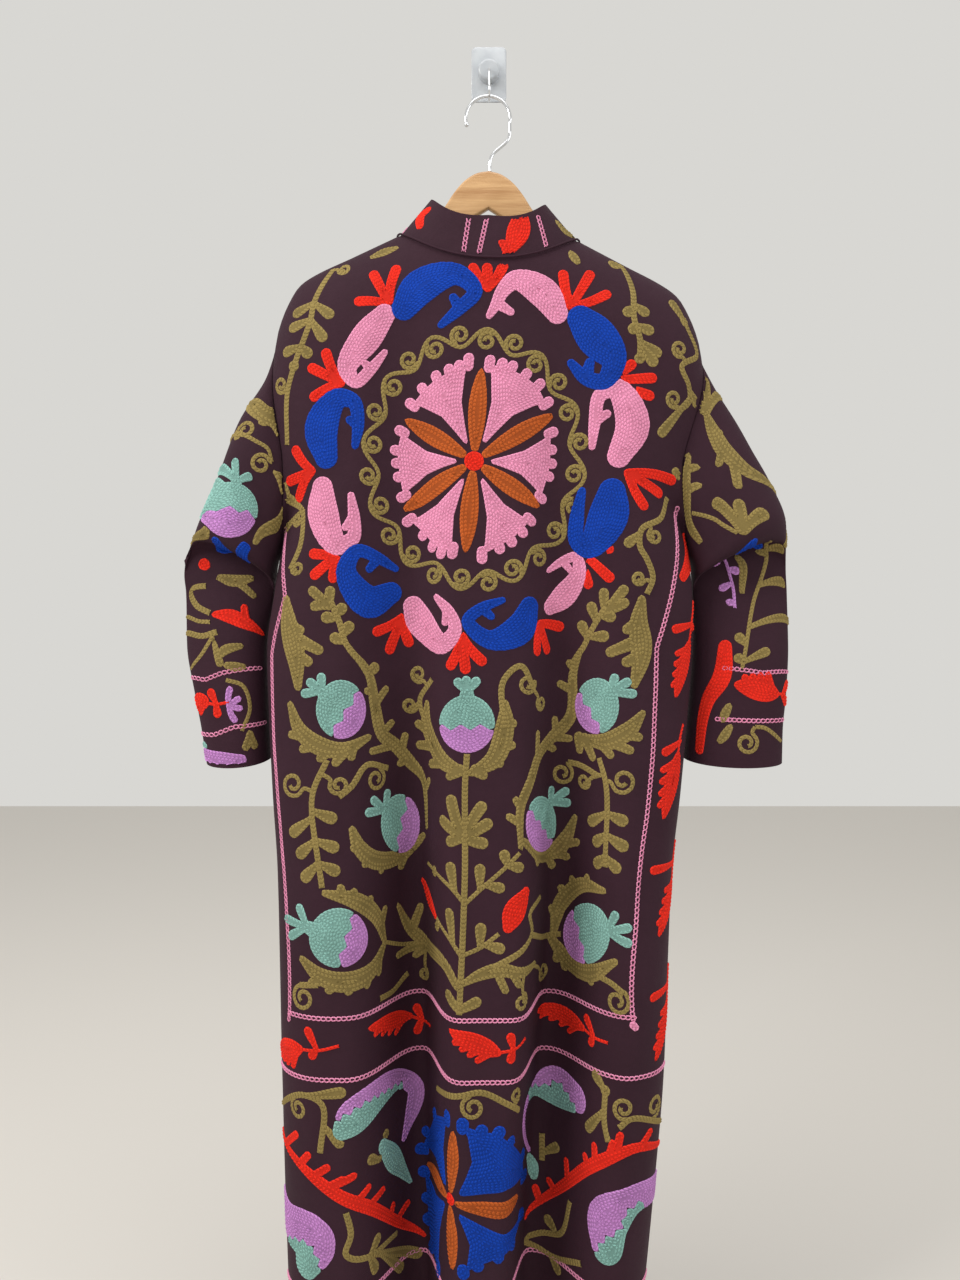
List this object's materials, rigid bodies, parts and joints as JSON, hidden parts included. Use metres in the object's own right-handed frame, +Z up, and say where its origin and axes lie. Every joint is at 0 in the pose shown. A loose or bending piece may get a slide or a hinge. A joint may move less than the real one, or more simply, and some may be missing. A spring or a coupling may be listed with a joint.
{
  "type": "embroidered long robe on a wooden hanger and wall hook",
  "caption": "Long open-front robe with set-in sleeves and a narrow stand collar, embroidered all over, on a flat wooden hanger that hangs from a clear wall hook.",
  "frame": {"origin": "middle of the wall plate's back face, where it sticks to the wall", "axes": "+Z up, along the robe's length; +Y into the wall, so the robe's back faces -Y; +X to the right as seen from the back"},
  "size_m": [0.7098, 0.138, 1.548],
  "materials": {
    "cloth": "dark plum plain-weave cotton with a slight sheen",
    "thread_blue": "matte cobalt blue chain stitch",
    "thread_pink": "matte pink chain stitch",
    "thread_red": "matte red-orange chain stitch",
    "thread_olive": "matte olive chain stitch",
    "thread_rust": "matte rust chain stitch",
    "thread_mint": "matte mint chain stitch",
    "thread_lilac": "matte lilac chain stitch",
    "wood": "light varnished wood",
    "chrome": "polished chrome wire",
    "clear_plastic": "clear greyish plastic"
  },
  "bodies": {
    "root": {"back": "cloth", "front_left": "cloth", "front_right": "cloth", "sleeve_left": "cloth", "sleeve_right": "cloth", "collar": "cloth", "neck_piping": "cloth", "hanger_bar": "wood", "hanger_hook": "chrome", "wall_plate": "clear_plastic", "wall_hook": "chrome"}
  },
  "joints": []
}
